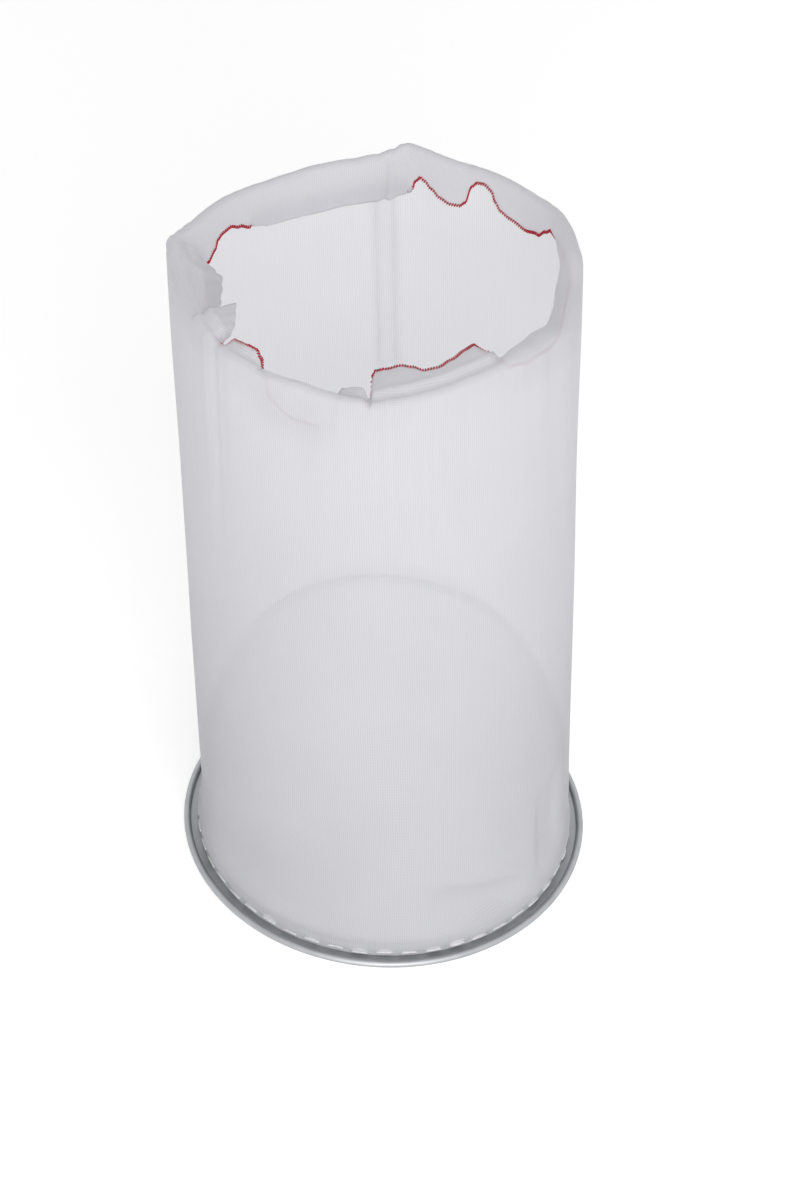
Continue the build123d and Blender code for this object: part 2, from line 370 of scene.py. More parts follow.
def dome_radius(height):
    """Radius of each panel's own dome at a height: a long side arc, then a round crown."""
    size = sizes()
    wide = -POCKET_LOW[0]
    crown = size.crown_radius
    top = size.pocket_height + crown - sqrt(crown**2 - size.panel_lean**2)
    rise = top - crown - NECK_TOP
    side = (wide**2 + rise**2 - crown**2) / (2 * (wide - crown))
    if height <= NECK_TOP:
        return wide
    meeting = NECK_TOP + side * rise / (side - crown)
    if height < meeting:
        return sqrt(side**2 - (height - NECK_TOP) ** 2) - side + wide
    return sqrt(max(0.0, crown**2 - (height - top + crown) ** 2))


def pocket_shift(height):
    """How far the soft pocket has leaned over at a height."""
    size = sizes()
    return -size.pocket_lean * max(0.0, height - NECK_TOP) / (size.pocket_height - NECK_TOP)


def pocket_reach(angle, height):
    """How far the pocket's face stands from the ring's axis, where the two leaning panels cross."""
    size = sizes()
    if height >= size.pocket_height:
        return 0.0
    apart = size.panel_lean * max(0.0, height - NECK_TOP) / (size.pocket_height - NECK_TOP)
    turn = radians(angle)
    inside = dome_radius(height) ** 2 - (apart * cos(turn)) ** 2
    if inside <= 0:
        return 0.0
    return max(0.0, sqrt(inside) - apart * abs(sin(turn)) + pocket_shift(height) * cos(turn))


def mouth_point(angle, share, outward=0.0):
    """A point past the wall's top: round the fold and down the collar, share running from 0 to 1."""
    _, _, fold, tilt, width, under = rim_at(angle)
    fold, width, under = fold * MM, width * MM, under * MM
    turn = radians(angle)
    radial = Vector((cos(turn), sin(turn), 0))
    start = wall_point(angle, wall_top(angle))
    centre = start - radial * fold
    sweep = pi - radians(tilt)
    bend = fold * sweep
    run = share * (bend + width + under)
    if run < bend:
        turned = run / fold
        reach = fold + outward
        return centre + radial * reach * cos(turned) + Vector((0, 0, reach * sin(turned)))
    # Past the fold the cloth runs down the collar, and its last stretch turns back under.
    back = max(0.0, run - bend - width)
    past = run - bend - 2 * back
    edge = centre + radial * fold * cos(sweep) + Vector((0, 0, fold * sin(sweep)))
    level = eased((tilt - 40) / 40)
    droop = radians(tilt) * (1 - (0.45 - 0.38 * level) * past / width)
    along = -radial * sin(droop) - Vector((0, 0, cos(droop)))
    face = radial * -cos(droop) + Vector((0, 0, sin(droop)))
    # The collar ripples; where it lies level it swells and dips, a corner lifts beside the back seam, and
    # where the edge folds under it sinks.
    ripple = noise.noise(Vector((3.1 * cos(turn), 3.1 * sin(turn), past * 40)))
    ripple += 0.5 * sin(radians(angle * 17)) * noise.noise(Vector((cos(turn), sin(turn), 4.0)))
    lift = 2.0 * MM * ripple * eased(past / width) * (1 - 0.4 * level)
    swell = exp(-(((past / MM - 5.5) / 2.0) ** 2))
    dip = exp(-(((past / MM - 2.0) / 1.6) ** 2))
    lift += level * MM * (1.2 * swell - 0.9 * dip)
    lift += 1.8 * MM * eased((88.6 - angle) / 1.2) * eased((angle - 78) / 8) * eased(past / (6 * MM))
    lift -= 1.6 * MM * eased(back / (1.2 * MM))
    return edge + along * past + face * (lift + outward)


def cloth_point(angle, row, rows):
    """A point of the whole sleeve cloth: rows = (wall, mouth) counts, row 0 at the foot."""
    wall, mouth = rows
    if row <= wall:
        share = row / wall
        return wall_point(angle, SLEEVE_LOW[2] + (wall_top(angle) - SLEEVE_LOW[2]) * share)
    return mouth_point(angle, (row - wall) / mouth)


def edge_frame(angle):
    """The collar's free edge at an angle: point, direction along it, and direction back into the cloth."""
    here = mouth_point(angle, 1.0)
    ahead = mouth_point(angle + 0.3, 1.0)
    inward = mouth_point(angle, 0.94)
    along = (ahead - here).normalized()
    into = (inward - here).normalized()
    return here, along, into


# ---------------------------------------------------------------- making meshes


def nothing_selected():
    if bpy.context.object and bpy.context.object.mode != "OBJECT":
        bpy.ops.object.mode_set(mode="OBJECT")
    bpy.ops.object.select_all(action="DESELECT")


def mesh_object(name, points, faces):
    """A new smooth object from points and faces."""
    mesh = bpy.data.meshes.new(name)
    mesh.from_pydata([tuple(p) for p in points], [], faces)
    mesh.update()
    for polygon in mesh.polygons:
        polygon.use_smooth = True
    thing = bpy.data.objects.new(name, mesh)
    bpy.context.scene.collection.objects.link(thing)
    return thing


def grid_object(name, columns, rows, point, closed=True, uv=None):
    """A sheet of columns by rows quads; closed joins the last column to the first.

    point(c, r) gives each corner, and uv(c, r) its place on the flat cloth, in metres.
    """
    count = columns if closed else columns + 1
    points = [point(c, r) for r in range(rows + 1) for c in range(count)]
    faces = []
    for r in range(rows):
        for c in range(columns):
            d = (c + 1) % count
            faces.append((r * count + c, r * count + d, (r + 1) * count + d, (r + 1) * count + c))
    thing = mesh_object(name, points, faces)
    if uv:
        layer = thing.data.uv_layers.new(name="Cloth")
        for polygon in thing.data.polygons:
            r, c = divmod(polygon.index, columns)
            corners = ((c, r), (c + 1, r), (c + 1, r + 1), (c, r + 1))
            for loop, corner in zip(polygon.loop_indices, corners):
                layer.data[loop].uv = uv(*corner)
    return thing


def chosen(thing):
    """Make a thing the only selected one, and the active one."""
    nothing_selected()
    thing.select_set(True)
    bpy.context.view_layer.objects.active = thing


def thickened(thing, thickness):
    """Give a sheet a thickness, half of it to each side."""
    chosen(thing)
    wall = thing.modifiers.new("Cloth", "SOLIDIFY")
    wall.thickness = thickness
    wall.offset = 0.0
    bpy.ops.object.modifier_apply(modifier="Cloth")


def tube(name, path, radius, sides=6):
    """A round thread along a list of points; radius is one number, or one for each point."""
    radii = radius if isinstance(radius, list) else [radius] * len(path)
    points, faces = [], []
    count = len(path)
    for i, here in enumerate(path):
        along = (path[min(i + 1, count - 1)] - path[max(i - 1, 0)]).normalized()
        side = along.orthogonal().normalized() if i == 0 else (side - along * side.dot(along)).normalized()
        other = along.cross(side)
        for k in range(sides):
            turn = 2 * pi * k / sides
            points.append(here + side * (radii[i] * cos(turn)) + other * (radii[i] * sin(turn)))
    for i in range(count - 1):
        low, high = i * sides, (i + 1) * sides
        for k in range(sides):
            m = (k + 1) % sides
            faces.append((low + k, low + m, high + m, high + k))
    faces.append(tuple(range(sides - 1, -1, -1)))
    faces.append(tuple((count - 1) * sides + k for k in range(sides)))
    return mesh_object(name, points, faces)


def joined(name, things):
    """Join things into one, with a name."""
    nothing_selected()
    for thing in things:
        thing.select_set(True)
    bpy.context.view_layer.objects.active = things[0]
    bpy.ops.object.join()
    things[0].name = name
    things[0].data.name = name
    return things[0]


def finish(thing, key):
    """Give a thing one of the MATERIALS, and no other."""
    thing.data.materials.clear()
    thing.data.materials.append(MATERIALS[key])


def dress(thing, key, node):
    """Finish a piece, hang it on the root body, and put it in its CAD node's place."""
    finish(thing, key)
    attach(thing, "root")
    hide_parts(node)


# ---------------------------------------------------------------- materials


def group(name, inputs, outputs):
    """A new shader node group with named sockets: inputs are (name, default), outputs (name, type)."""
    tree = bpy.data.node_groups.new(name, "ShaderNodeTree")
    for label, default in inputs:
        kind = "NodeSocketVector" if label == "Vector" else "NodeSocketFloat"
        if isinstance(default, tuple) and label != "Vector":
            kind = "NodeSocketColor"
        socket = tree.interface.new_socket(name=label, in_out="INPUT", socket_type=kind)
        socket.default_value = default
    for label, kind in outputs:
        tree.interface.new_socket(name=label, in_out="OUTPUT", socket_type=kind)
    return tree, tree.nodes.new("NodeGroupInput"), tree.nodes.new("NodeGroupOutput")


def maths(tree, kind, a, b=None, c=None):
    """A Math node; numbers are set on its sockets and sockets are linked."""
    node = tree.nodes.new("ShaderNodeMath")
    node.operation = kind
    for socket, value in zip(node.inputs, (a, b, c)):
        if value is None:
            continue
        if isinstance(value, (int, float)):
            socket.default_value = value
        else:
            tree.links.new(value, socket)
    return node.outputs[0]


def mesh_weave_group():
    """Square mesh of crossing threads: its relief, and how much of what lies behind it covers."""
    tree, given, result = group(
        "Mesh weave",
        [("Vector", (0.0, 0.0, 0.0)), ("Pitch", 0.00125), ("Openness", 0.3)],
        [("Height", "NodeSocketFloat"), ("Cover", "NodeSocketFloat")],
    )
    split = tree.nodes.new("ShaderNodeSeparateXYZ")
    tree.links.new(given.outputs["Vector"], split.inputs[0])
    across = maths(tree, "DIVIDE", split.outputs[0], given.outputs["Pitch"])
    along = maths(tree, "DIVIDE", split.outputs[1], given.outputs["Pitch"])
    warp = maths(tree, "SINE", maths(tree, "MULTIPLY", across, pi))
    weft = maths(tree, "SINE", maths(tree, "MULTIPLY", along, pi))
    product = maths(tree, "MULTIPLY", warp, weft)
    opening = maths(tree, "SMOOTH_MIN", maths(tree, "MULTIPLY", product, product), 1.0, 0.2)
    height = maths(tree, "SUBTRACT", 1.0, opening)
    sheer = maths(tree, "MULTIPLY_ADD", opening, 0.3, 0.17)
    cover = maths(tree, "SUBTRACT", 1.0, maths(tree, "MULTIPLY", sheer, given.outputs["Openness"]))
    tree.links.new(height, result.inputs["Height"])
    tree.links.new(cover, result.inputs["Cover"])
    return tree


def mottle_group():
    """A soft change of tone over a surface."""
    tree, given, result = group(
        "Mottle",
        [("Vector", (0.0, 0.0, 0.0)), ("Scale", 20.0), ("Colour", (0.8, 0.8, 0.8, 1.0)), ("Amount", 0.05)],
        [("Colour", "NodeSocketColor"), ("Value", "NodeSocketFloat")],
    )
    cloud = tree.nodes.new("ShaderNodeTexNoise")
    cloud.inputs["Detail"].default_value = 4.0
    tree.links.new(given.outputs["Vector"], cloud.inputs["Vector"])
    tree.links.new(given.outputs["Scale"], cloud.inputs["Scale"])
    shade = maths(tree, "MULTIPLY_ADD", cloud.outputs["Fac"], 2.0, -1.0)
    factor = maths(tree, "MULTIPLY_ADD", shade, given.outputs["Amount"], 1.0)
    scale = tree.nodes.new("ShaderNodeVectorMath")
    scale.operation = "SCALE"
    tree.links.new(given.outputs["Colour"], scale.inputs[0])
    tree.links.new(factor, scale.inputs["Scale"])
    tree.links.new(scale.outputs[0], result.inputs["Colour"])
    tree.links.new(cloud.outputs["Fac"], result.inputs["Value"])
    return tree


def use_group(tree, node_group):
    node = tree.nodes.new("ShaderNodeGroup")
    node.node_tree = node_group
    return node


def new_material(name):
    material = bpy.data.materials.new(name)
    material.use_nodes = True
    return material, material.node_tree, material.node_tree.nodes["Principled BSDF"]


def mixed(tree, factor, first, second, output="Material Output"):
    """Mix two shaders by a number or a socket, into a tree's output."""
    mix = tree.nodes.new("ShaderNodeMixShader")
    if isinstance(factor, float):
        mix.inputs["Fac"].default_value = factor
    else:
        tree.links.new(factor, mix.inputs["Fac"])
    tree.links.new(first.outputs[0], mix.inputs[1])
    tree.links.new(second.outputs[0], mix.inputs[2])
    tree.links.new(mix.outputs[0], tree.nodes[output].inputs["Surface"])


def seen_straight(tree):
    """1 for rays from the camera, off a reflection or on their way through something, and 0 for others."""
    path = tree.nodes.new("ShaderNodeLightPath")
    straight = maths(tree, "MAXIMUM", path.outputs["Is Camera Ray"], path.outputs["Is Glossy Ray"])
    return maths(tree, "MAXIMUM", straight, path.outputs["Is Transmission Ray"])


def mottled(tree, groups, colour, scale, amount):
    """The mottle group set up on object coordinates."""
    place = tree.nodes.new("ShaderNodeTexCoord")
    mottle = use_group(tree, groups["mottle"])
    mottle.inputs["Colour"].default_value = (*colour, 1.0)
    mottle.inputs["Scale"].default_value = scale
    mottle.inputs["Amount"].default_value = amount
    tree.links.new(place.outputs["Object"], mottle.inputs["Vector"])
    return mottle


def relief(tree, height, strength, distance):
    """A bump from a height socket; gives the normal."""
    bump = tree.nodes.new("ShaderNodeBump")
    bump.inputs["Strength"].default_value = strength
    bump.inputs["Distance"].default_value = distance
    tree.links.new(height, bump.inputs["Height"])
    return bump.outputs[0]


def cloth_material(name, colour, groups, pitch, openness, through, place_from="UV"):
    """Mesh cloth: mottled colour, woven relief, openings to see through, and light coming through."""
    material, tree, surface = new_material(name)
    place = tree.nodes.new("ShaderNodeTexCoord")
    weave = use_group(tree, groups["weave"])
    weave.inputs["Pitch"].default_value = pitch
    weave.inputs["Openness"].default_value = openness
    tree.links.new(place.outputs[place_from], weave.inputs["Vector"])
    mottle = mottled(tree, groups, colour, 14.0, 0.035)
    normal = relief(tree, weave.outputs["Height"], 0.05, 0.0003)
    surface.inputs["Roughness"].default_value = 0.85
    surface.inputs["Specular IOR Level"].default_value = 0.2
    surface.inputs["Sheen Weight"].default_value = 0.15
    tree.links.new(mottle.outputs["Colour"], surface.inputs["Base Color"])
    tree.links.new(normal, surface.inputs["Normal"])
    tree.links.new(weave.outputs["Cover"], surface.inputs["Alpha"])
    glow = tree.nodes.new("ShaderNodeBsdfTranslucent")
    tree.links.new(mottle.outputs["Colour"], glow.inputs["Color"])
    tree.links.new(normal, glow.inputs["Normal"])
    mixed(tree, through, surface, glow)
    return material


def pale_low_down(material, colour, low, high):
    """Fade a cloth material's colour, at the height high, to another one at the height low. On the seam
    allowance along the pocket's arch this is painted shade: near-black at the arch's crest, fading to the
    pocket's colour lower down.
    """
    tree = material.node_tree
    place = tree.nodes.new("ShaderNodeTexCoord")
    split = tree.nodes.new("ShaderNodeSeparateXYZ")
    tree.links.new(place.outputs["Object"], split.inputs[0])
    rise = tree.nodes.new("ShaderNodeMapRange")
    rise.inputs["From Min"].default_value = low
    rise.inputs["From Max"].default_value = high
    tree.links.new(split.outputs["Z"], rise.inputs["Value"])
    blend = tree.nodes.new("ShaderNodeMix")
    blend.data_type = "RGBA"
    from_colour, to_colour = [socket for socket in blend.inputs if socket.type == "RGBA"]
    blended = next(socket for socket in blend.outputs if socket.type == "RGBA")
    from_colour.default_value = (*colour, 1.0)
    tree.links.new(rise.outputs[0], blend.inputs[0])
    coloured = (("ShaderNodeBsdfPrincipled", "Base Color"), ("ShaderNodeBsdfTranslucent", "Color"))
    for kind, socket in coloured:
        surface = next(node for node in tree.nodes if node.bl_idname == kind)
        if not to_colour.is_linked:
            tree.links.new(surface.inputs[socket].links[0].from_socket, to_colour)
        tree.links.new(blended, surface.inputs[socket])


def thread_material(name, colour, groups):
    """Thread: mottled colour with a fine relief."""
    material, tree, surface = new_material(name)
    mottle = mottled(tree, groups, colour, 900.0, 0.3)
    normal = relief(tree, mottle.outputs["Value"], 0.5, 0.0001)
    surface.inputs["Roughness"].default_value = 0.7
    surface.inputs["Specular IOR Level"].default_value = 0.3
    tree.links.new(mottle.outputs["Colour"], surface.inputs["Base Color"])
    tree.links.new(normal, surface.inputs["Normal"])
    return material


def steel_material(name, colour, groups):
    """Galvanised steel: dull, with a mottled spangle."""
    material, tree, surface = new_material(name)
    mottle = mottled(tree, groups, colour, 120.0, 0.22)
    rough = maths(tree, "MULTIPLY_ADD", mottle.outputs["Value"], 0.25, 0.36)
    normal = relief(tree, mottle.outputs["Value"], 0.15, 0.0002)
    surface.inputs["Metallic"].default_value = 1.0
    tree.links.new(mottle.outputs["Colour"], surface.inputs["Base Color"])
    tree.links.new(rough, surface.inputs["Roughness"])
    tree.links.new(normal, surface.inputs["Normal"])
    return material


MATERIALS = {}


class FILTER_OT_materials(bpy.types.Operator):
    """Make the finishes that the pieces share"""

    bl_idname = "filter.materials"
    bl_label = "Materials"

    def execute(self, context):
        shade, size = colours(), sizes()
        groups = {"weave": mesh_weave_group(), "mottle": mottle_group()}
        MATERIALS["cloth"] = cloth_material("White mesh", shade.cloth, groups, size.mesh_pitch, 0.78, 0.36)
        # This material takes the pocket's greyer colour, which is painted shade.
        MATERIALS["pocket"] = cloth_material("Pocket mesh painted shade", shade.pocket, groups, size.mesh_pitch, 0.6, 0.5)
        MATERIALS["tape"] = cloth_material("White tape", shade.cloth, groups, size.mesh_pitch / 2, 0.0, 0.15)
        # The seam lap is paler than the sleeve's white mesh. This is painted light, which cancels the darker
        # bands the doubled cloth would show inside the sleeve.
        MATERIALS["lap"] = cloth_material("Seam mesh painted light", (0.93, 0.93, 0.94), groups, size.mesh_pitch, 3.2, 0.85)
        # The near-black colour of the seam allowance is painted shade. It stands for the dark shaded band
        # along the top of the pocket's arch, and fades out lower down.
        MATERIALS["seam"] = cloth_material(
            "Pocket seam painted shade", (0.13, 0.13, 0.135), groups, size.mesh_pitch, 0.1, 0.15, place_from="Object"
        )
        pale_low_down(MATERIALS["seam"], shade.pocket, 112 * MM, size.pocket_height)
        MATERIALS["thread"] = thread_material("White thread", shade.thread, groups)
        MATERIALS["red"] = thread_material("Red thread", shade.rim, groups)
        MATERIALS["steel"] = steel_material("Galvanised steel", shade.steel, groups)
        return {"FINISHED"}


class FILTER_OT_ring(bpy.types.Operator):
    """Spin the steel ring: flat flange, neck with a flared lip, and a rolled bead"""

    bl_idname = "filter.ring"
    bl_label = "Steel ring"

    def execute(self, context):
        outer = max(RING_HIGH[0], -RING_LOW[0], RING_HIGH[1])
        bead = 1.6 * MM
        sheet = 0.8 * MM
        top = RING_HIGH[2]
        middle = outer - bead
        neck = 80.0 * MM
        # Radius and height of each corner: flange, neck, flared lip, back down inside, then round the bead.
        outline = [(middle - 1.2 * bead, sheet), (neck + 0.6 * MM, sheet), (neck, sheet + 0.6 * MM)]
        outline += [(neck, top - 1.8 * MM), (neck + 1.0 * MM, top - 0.8 * MM), (neck + 1.0 * MM, top)]
        outline += [(neck + 0.2 * MM, top), (neck - 0.8 * MM, top - 0.8 * MM), (neck - 0.8 * MM, 0.0)]
        for step in range(27):
            turn = radians(-90 + step * 10)
            outline.append((middle + bead * cos(turn), bead + bead * sin(turn)))
        outline += [(middle - 0.93 * bead, sheet + 0.05 * MM), outline[0]]
        nothing_selected()
        bpy.ops.mesh.primitive_plane_add(size=1 * MM, location=(0, 0, 0))
        ring = context.object
        ring.name = ring.data.name = "steel_ring"
        bpy.ops.object.mode_set(mode="EDIT")
        bpy.ops.mesh.select_all(action="SELECT")
        bpy.ops.mesh.merge(type="CENTER")
        last = (0.0, 0.0)
        for radius, height in outline:
            step = (radius - last[0], 0, height - last[1])
            if last == (0.0, 0.0):
                bpy.ops.transform.translate(value=step)
            else:
                bpy.ops.mesh.extrude_region_move(TRANSFORM_OT_translate={"value": step})
            last = (radius, height)
        bpy.ops.mesh.select_all(action="SELECT")
        bpy.ops.mesh.spin(steps=360, angle=2 * pi, center=(0, 0, 0), axis=(0, 0, 1))
        bpy.ops.mesh.select_all(action="SELECT")
        bpy.ops.mesh.remove_doubles(threshold=MERGE)
        bpy.ops.mesh.normals_make_consistent(inside=False)
        bpy.ops.object.mode_set(mode="OBJECT")
        bpy.ops.object.shade_smooth_by_angle(angle=radians(35))
        dress(ring, "steel", "flange_ring")
        return {"FINISHED"}


class FILTER_OT_sleeve(bpy.types.Operator):
    """Lay the sleeve's cloth: up the wall, over the fold at the mouth and down the collar"""

    bl_idname = "filter.sleeve"
    bl_label = "Filter sleeve"

    def execute(self, context):
        columns, rows = 600, (76, 48)
        size = sizes()
        round_length = 2 * pi * size.wall_radius

        def point(c, r):
            return cloth_point(360.0 * c / columns, r, rows)

        def uv(c, r):
            angle = 360.0 * c / columns
            if r <= rows[0]:
                up = (wall_top(angle) - SLEEVE_LOW[2]) * r / rows[0]
            else:
                _, _, fold, tilt, width, under = rim_at(angle)
                past = (fold * (pi - radians(tilt)) + width + under) * MM
                up = wall_top(angle) - SLEEVE_LOW[2] + past * (r - rows[0]) / rows[1]
            return (round_length * c / columns, up)

        sleeve = grid_object("mesh_sleeve", columns, sum(rows), point, uv=uv)
        dress(sleeve, "cloth", "filter_sleeve")
        return {"FINISHED"}


class FILTER_OT_rim_thread(bpy.types.Operator):
    """Wrap the red overlock thread round the collar's free edge"""

    bl_idname = "filter.rim_thread"
    bl_label = "Rim overlock"

    def execute(self, context):
        size = sizes()
        thread = size.rim_thread
        path, radii = [], []
        angle = 0.0
        turns = 0.0
        while angle < 360.0:
            here, along, into = edge_frame(angle)
            across = along.cross(into).normalized()
            spin = 2 * pi * turns
            under = rim_at(angle)[5]
            reach = 0.8 * MM * (1 - 0.6 * eased(under / 2))
            # The thread circles the edge, and shrinks away where the edge is folded under.
            swing = into * (reach * (0.55 - 0.75 * cos(spin))) + across * (0.45 * MM * sin(spin))
            path.append(here + swing)
            radii.append(thread / 2 * (1 - 0.85 * eased((under - 0.3) / 1.5)))
            ahead = (mouth_point(angle + 0.3, 1.0) - here).length / 0.3
            step = LOOP_STEP / max(ahead, 1e-6)
            angle += step
            turns += step * ahead / LOOP_PITCH
        thread_piece = tube("rim_overlock_thread", path, radii, sides=5)
        dress(thread_piece, "red", "rim_overlock")
        return {"FINISHED"}


class FILTER_OT_side_seam(bpy.types.Operator):
    """Lay the lapped seam up the back of the sleeve, with its two rows of stitches"""

    bl_idname = "filter.side_seam"
    bl_label = "Side seam"

    def execute(self, context):
        size = sizes()
        low, high = LAP_LOW[2], LAP_HIGH[2]
        span = degrees(LAP_WIDE / size.wall_radius)
        columns, rows = LAP_GRID

        def point(c, r):
            angle = BACK - span / 2 + span * c / columns
            height = low + (high - low) * r / rows
            lift = 0.4 * MM + 0.08 * MM * sin(height / (3.2 * MM)) * (1 if c in (0, columns) else 0.3)
            return wall_point(angle, height, lift)

        def uv(c, r):
            return (LAP_WIDE * c / columns, (high - low) * r / rows)

        lap = grid_object("side_seam_tape", columns, rows, point, closed=False, uv=uv)
        # The lap wears the paler white, which is painted light.
        dress(lap, "lap", "side_seam_lap")
        stitches = []
        for side in (-1, 1):
            angle = BACK + side * degrees((LAP_WIDE / 2 - 2.5 * MM) / size.wall_radius)
            count = int((high - low) / size.seam_pitch) - 1
            for number in range(count):
                start = low + (number + 0.7) * size.seam_pitch
                path = []
                for k in range(5):
                    share = k / 4
                    lift = 0.75 * MM + 0.35 * MM * sin(pi * share)
                    path.append(wall_point(angle, start + share * SEAM_STITCH, lift))
                stitches.append(tube("stitch", path, 0.28 * MM, sides=5))
        seam = joined("side_seam_thread", stitches)
        dress(seam, "thread", "side_seam_stitches")
        return {"FINISHED"}


class FILTER_OT_hem(bpy.types.Operator):
    bl_idname = "filter.hem"
    bl_label = "Hem"

    def execute(self, context):
        size = sizes()
        outer = -BINDING_LOW[0]
        base, top = BINDING_LOW[2], BINDING_HIGH[2]
        count = round(2 * pi * outer / size.hem_pitch)
        columns, rows = count * 14, 10

        def bulge(angle):
            """How far the tape puffs out under each stitch, from 0 to about 1."""
            beat = (angle / 360.0 * count) % 1.0
            number = int(angle / 360.0 * count)
            swell = max(0.0, 0.3 + 1.1 * noise.noise(Vector((number * 1.7, 3.0, 2.0))))
            swell *= 0.65 + 0.35 * cos(radians(angle - 315))
            pucker = max(0.0, sin(pi * min(1.0, beat / 0.72))) ** 0.7
            return pucker * swell

        def point(c, r):
            angle = 360.0 * c / columns
            share = r / rows
            turn = radians(angle)
            profile = sin(pi * share) ** 0.8 if 0 < share < 1 else 0.0
            height = base + HEM_TAPE_WIDE * share
            radius = outer - 1.1 * MM + 1.5 * MM * profile * bulge(angle) + 0.4 * MM * (1 - share)
            return Vector((radius * cos(turn), radius * sin(turn), height))

        def uv(c, r):
            return (2 * pi * outer * c / columns, (top - base) * r / rows)

        binding = grid_object("hem_tape", columns, rows, point, uv=uv)
        dress(binding, "tape", "hem_binding")
        stitches = []
        for number in range(count):
            beat = 360.0 / count
            path = []
            for k in range(9):
                share = k / 8
                angle = (number + 0.03 + 0.66 * share) * beat
                turn = radians(angle)
                radius = outer - 0.5 * MM + 1.1 * MM * bulge(angle)
                level = base + 1.9 * MM + 0.5 * MM * sin(number * 2.3) + 0.5 * MM * sin(pi * share)
                path.append(Vector((radius * cos(turn), radius * sin(turn), level)))
            stitches.append(tube("stitch", path, 0.42 * MM, sides=6))
        thread = joined("hem_thread", stitches)
        dress(thread, "thread", "hem_stitches")
        # The sleeve's cloth is cut 34 mm longer than the wall is high, for the fold and the collar.
        return {"FINISHED"}


def towards_crest(foot, share):
    """A height from the foot to the pocket's crest, where rows crowd as share runs from 0 to 1."""
    return foot + (sizes().pocket_height - foot) * (1 - (1 - share) ** POCKET_CROWDING)


def pocket_fin():
    """The seam allowance that stands along the pocket's arch, up one side and down the other."""
    crest = []
    for side in (0.0, 180.0):
        for step in range(FIN_STEPS + 1):
            height = towards_crest(FIN_START, step / FIN_STEPS)
            reach = pocket_reach(side, height)
            crest.append((side, Vector((-reach if side else reach, 0, height))))
    crest = crest[: FIN_STEPS + 1] + crest[FIN_STEPS + 1 : -1][::-1]

    def point(c, r):
        side, here = crest[c]
        ahead = crest[min(c + 1, len(crest) - 1)][1] - crest[max(c - 1, 0)][1]
        out = Vector((ahead.z, 0, -ahead.x)).normalized()
        there = here + out * (2 * MM * r - 0.4 * MM)
        limit = wall_point(side, there.z, -1.6 * MM).x
        there.x = min(there.x, limit) if side == 0 else max(there.x, limit)
        return there

    fin = grid_object("pocket_seam", len(crest) - 1, 2, point, closed=False)
    thickened(fin, FIN_THICK)
    return fin


class FILTER_OT_pocket(bpy.types.Operator):
    """Raise the inner pocket's two panels, and dress the seam where they meet"""

    bl_idname = "filter.pocket"
    bl_label = "Inner pocket"

    def execute(self, context):
        columns, rows = 240, 90
        foot = POCKET_LOW[2]

        def point(c, r):
            angle = 360.0 * c / columns
            height = towards_crest(foot, r / rows)
            turn = radians(angle)
            reach = pocket_reach(angle, height) - pocket_shift(height) * cos(turn)
            room = wall_point(angle, height, -0.7 * MM)
            reach = min(reach, (room - Vector((pocket_shift(height), 0, height))).length)
            return Vector((reach * cos(turn) + pocket_shift(height), reach * sin(turn), height))

        def uv(c, r):
            return (2 * pi * 80 * MM * c / columns, 150 * MM * r / rows)

        pocket = grid_object("pocket_mesh", columns, rows, point, uv=uv)
        chosen(pocket)
        bpy.ops.object.mode_set(mode="EDIT")
        bpy.ops.mesh.select_all(action="SELECT")
        bpy.ops.mesh.remove_doubles(threshold=MERGE)
        bpy.ops.object.mode_set(mode="OBJECT")
        dress(pocket, "pocket", "filter_pocket")
        fin = pocket_fin()
        # The seam allowance wears the painted shade of the pocket's arch.
        dress(fin, "seam", "pocket_seam_allowance")
        finish(bpy.data.objects["pocket_seam_stitches"], "thread")
        return {"FINISHED"}


# ---------------------------------------------------------------- stage

# Area lamps aimed at LAMP_AIM: name, place, size and power.
LAMPS = (
    ("Key", (0.5, -2.0, 1.8), 1.8, 18.0),
    ("Low", (0.15, -1.7, 0.3), 1.1, 12.5),
    ("Side", (1.9, 0.3, 1.3), 1.0, 2.0),
)
LAMP_AIM = Vector((0, 0, 0.15))
WORLD_LIGHT = 0.45  # what the world gives as light; it is seen as plain white
FLOOR_GLOW = 0.46  # lifts the floor to white where it is seen, without lighting the cloth
CAMERA_PLACE = (0.00135, -1.204, 1.2889)
CAMERA_PITCH = radians(43.75)  # down from level
CAMERA_ROLL = radians(3.5)
CAMERA_LENS = 117.0  # millimetres, on a sensor 36 wide


def studio_floor():
    """A white floor that looks the same all over but takes shadows."""
    nothing_selected()
    bpy.ops.mesh.primitive_plane_add(size=12, location=(0, 0, 0))
    floor = bpy.context.object
    floor.name = "studio_floor"
    material, tree, surface = new_material("Studio floor")
    surface.inputs["Base Color"].default_value = (0.93, 0.93, 0.93, 1)
    surface.inputs["Roughness"].default_value = 1.0
    surface.inputs["Specular IOR Level"].default_value = 0.0
    glow = tree.nodes.new("ShaderNodeEmission")
    glow.inputs["Strength"].default_value = FLOOR_GLOW
    lifted = tree.nodes.new("ShaderNodeAddShader")
    tree.links.new(surface.outputs[0], lifted.inputs[0])
    tree.links.new(glow.outputs[0], lifted.inputs[1])
    mixed(tree, seen_straight(tree), surface, lifted)
    floor.data.materials.append(material)
    return floor


def studio_world():
    """A world that is seen white and gives a weaker light."""
    world = bpy.data.worlds.new("Studio")
    world.use_nodes = True
    tree = world.node_tree
    lit = tree.nodes["Background"]
    seen = tree.nodes.new("ShaderNodeBackground")
    for background, strength in ((lit, WORLD_LIGHT), (seen, 1.0)):
        background.inputs["Color"].default_value = (1, 1, 1, 1)
        background.inputs["Strength"].default_value = strength
    mixed(tree, seen_straight(tree), lit, seen, "World Output")
    return world


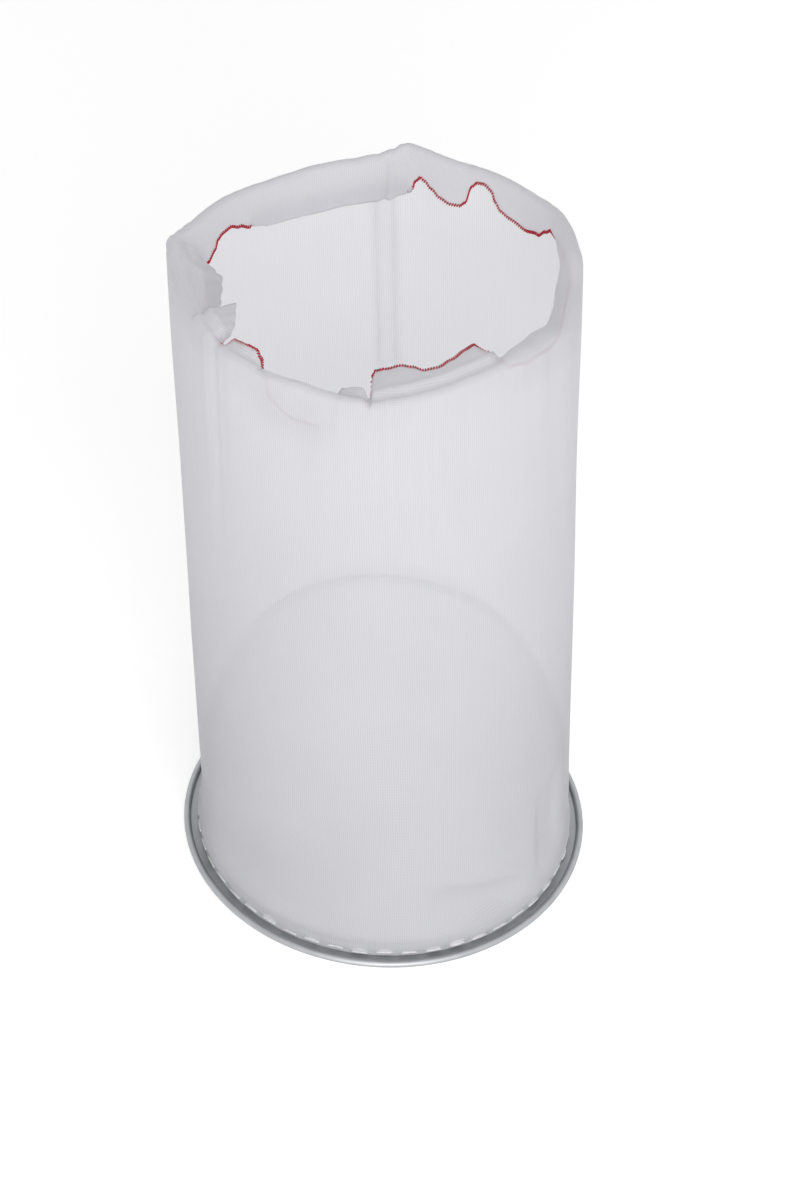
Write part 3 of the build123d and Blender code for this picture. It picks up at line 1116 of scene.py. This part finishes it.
def add_lamp(scene, name, place, size, power):
    """An area lamp at a place, aimed at LAMP_AIM."""
    lamp = bpy.data.lights.new(name, "AREA")
    lamp.size = size
    lamp.energy = power
    thing = bpy.data.objects.new(name, lamp)
    thing.location = place
    aim = LAMP_AIM - Vector(place)
    thing.rotation_euler = aim.to_track_quat("-Z", "Y").to_euler()
    scene.collection.objects.link(thing)


class FILTER_OT_stage(bpy.types.Operator):
    """Set the floor, the lights, the world and the camera"""

    bl_idname = "filter.stage"
    bl_label = "Stage"

    def execute(self, context):
        scene = context.scene
        floor = studio_floor()
        scene.world = studio_world()
        for lamp in LAMPS:
            add_lamp(scene, *lamp)
        camera = bpy.data.objects.new("Camera", bpy.data.cameras.new("Camera"))
        camera.data.lens = CAMERA_LENS
        camera.data.sensor_width = 36.0
        turn = Euler((pi / 2 - CAMERA_PITCH, 0, 0)).to_matrix() @ Matrix.Rotation(CAMERA_ROLL, 3, "Z")
        camera.matrix_world = Matrix.Translation(CAMERA_PLACE) @ turn.to_4x4()
        scene.collection.objects.link(camera)
        scene.camera = camera
        scene.view_settings.view_transform = "Standard"
        return {"FINISHED"}


STEPS = (
    FILTER_OT_materials,
    FILTER_OT_ring,
    FILTER_OT_sleeve,
    FILTER_OT_rim_thread,
    FILTER_OT_side_seam,
    FILTER_OT_hem,
    FILTER_OT_pocket,
    FILTER_OT_stage,
)


class FILTER_PT_panel(bpy.types.Panel):
    """Lists the pieces of the filter element"""

    bl_idname = "FILTER_PT_panel"
    bl_label = "Bag filter element"
    bl_space_type = "VIEW_3D"
    bl_region_type = "UI"
    bl_category = "Filter"

    def draw(self, context):
        for step in STEPS:
            self.layout.operator(step.bl_idname)


CLASSES = (FilterSizes, FilterColours, *STEPS, FILTER_PT_panel)


def register():
    for item in CLASSES:
        bpy.utils.register_class(item)
    bpy.types.Scene.filter_sizes = bpy.props.PointerProperty(type=FilterSizes)
    bpy.types.Scene.filter_colours = bpy.props.PointerProperty(type=FilterColours)


def unregister():
    del bpy.types.Scene.filter_colours
    del bpy.types.Scene.filter_sizes
    for item in reversed(CLASSES):
        bpy.utils.unregister_class(item)


def main():
    register()
    bpy.ops.filter.materials()
    bpy.ops.filter.ring()
    bpy.ops.filter.sleeve()
    bpy.ops.filter.rim_thread()
    bpy.ops.filter.side_seam()
    bpy.ops.filter.hem()
    bpy.ops.filter.pocket()
    bpy.ops.filter.stage()


if __name__ == "__main__":
    main()
